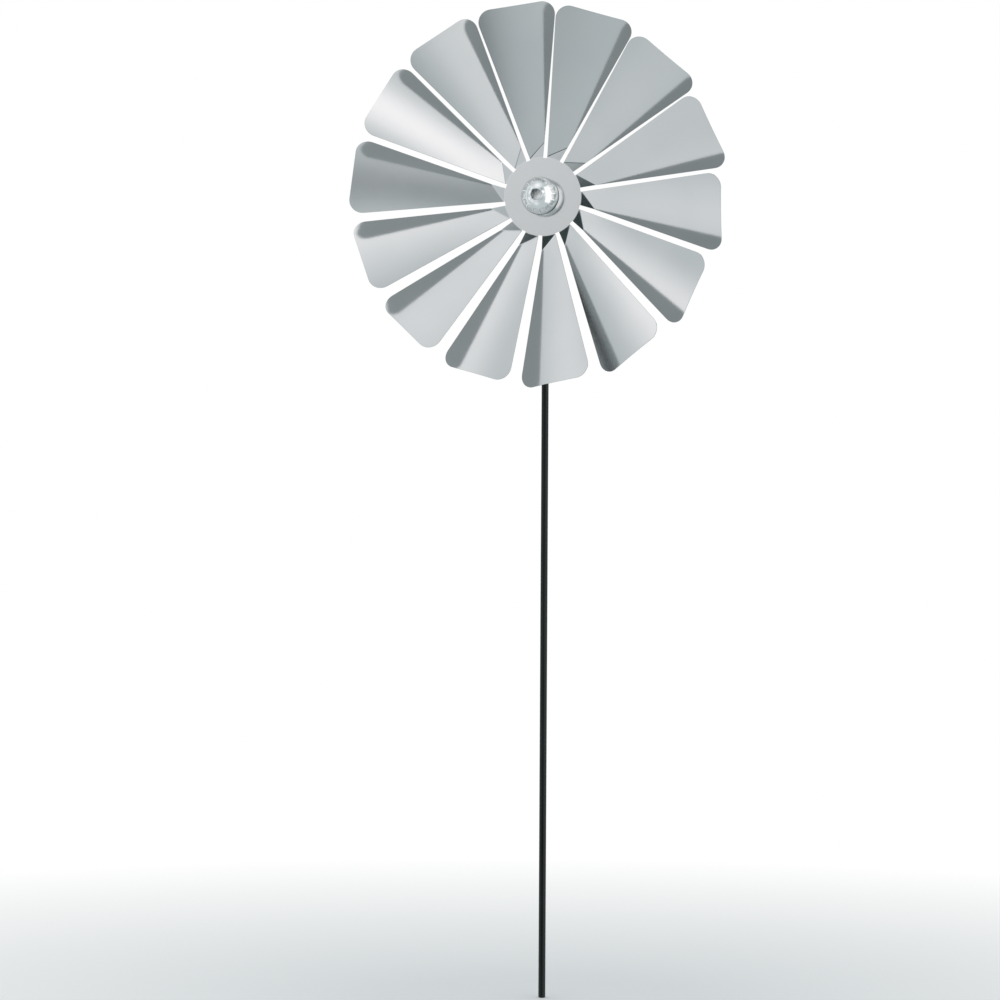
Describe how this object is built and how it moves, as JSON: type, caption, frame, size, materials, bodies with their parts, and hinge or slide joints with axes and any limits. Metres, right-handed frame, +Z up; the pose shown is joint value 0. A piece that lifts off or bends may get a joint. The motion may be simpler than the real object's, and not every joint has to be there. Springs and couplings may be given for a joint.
{
  "type": "pinwheel",
  "caption": "Garden pinwheel: a slit and folded sheet-steel wheel with a polished ball hub, spinning on ball bearings at the top of a thin black rod.",
  "frame": {"origin": "centre of the flat end face of the rod's lower end", "axes": "+Z up along the rod, the wheel's front faces -Y, +X to the right seen from the front; the axle lies along Y"},
  "size_m": [0.3754, 0.081, 0.992],
  "materials": {
    "wheel_steel": "satin rolled stainless sheet",
    "polished_ball": "mirror polished",
    "rod_coating": "semi-gloss black coating",
    "black_steel": "black oxide",
    "fastener_steel": "plain stainless",
    "barrel_aluminium": "turned",
    "bearing_steel": "ground and polished",
    "cage_steel": "pressed"
  },
  "bodies": {
    "stake": {"rod": "rod_coating", "rod_head": "rod_coating", "grub_screw_upper": "black_steel", "grub_screw_lower": "black_steel", "axle_stud": "fastener_steel", "ball_head": "polished_ball", "head_spacer": "fastener_steel", "lock_washer": "fastener_steel", "lock_nut": "fastener_steel", "inner_spacer": "fastener_steel", "front_bearing_inner_ring": "bearing_steel", "rear_bearing_inner_ring": "bearing_steel"},
    "rotor": {"pinwheel": "wheel_steel", "hub_barrel": "barrel_aluminium", "hub_ring": "fastener_steel", "retaining_ring": "bearing_steel", "outer_spacer": "fastener_steel", "front_bearing_outer_ring": "bearing_steel", "front_bearing_shield_front": "bearing_steel", "front_bearing_shield_rear": "bearing_steel", "rear_bearing_outer_ring": "bearing_steel", "rear_bearing_shield_front": "bearing_steel", "rear_bearing_shield_rear": "bearing_steel"},
    "front_ball_set": {"front_bearing_cage": "cage_steel", "front_bearing_ball_1": "bearing_steel", "front_bearing_ball_2": "bearing_steel", "front_bearing_ball_3": "bearing_steel", "front_bearing_ball_4": "bearing_steel", "front_bearing_ball_5": "bearing_steel", "front_bearing_ball_6": "bearing_steel", "front_bearing_ball_7": "bearing_steel"},
    "rear_ball_set": {"rear_bearing_cage": "cage_steel", "rear_bearing_ball_1": "bearing_steel", "rear_bearing_ball_2": "bearing_steel", "rear_bearing_ball_3": "bearing_steel", "rear_bearing_ball_4": "bearing_steel", "rear_bearing_ball_5": "bearing_steel", "rear_bearing_ball_6": "bearing_steel", "rear_bearing_ball_7": "bearing_steel"}
  },
  "joints": [
    {"name": "rotor_spin", "type": "hinge", "parent": "stake", "child": "rotor", "pos_m": [0, -0.017, 0.801], "axis": [0, 1, 0], "continuous": true},
    {"name": "front_balls_roll", "type": "hinge", "parent": "stake", "child": "front_ball_set", "pos_m": [0, -0.0165, 0.801], "axis": [0, 1, 0], "continuous": true},
    {"name": "rear_balls_roll", "type": "hinge", "parent": "stake", "child": "rear_ball_set", "pos_m": [0, -0.0105, 0.801], "axis": [0, 1, 0], "continuous": true}
  ],
  "couplings": [
    {"joint": "front_balls_roll", "follows": "rotor_spin", "ratio": 0.6},
    {"joint": "rear_balls_roll", "follows": "rotor_spin", "ratio": 0.6}
  ]
}
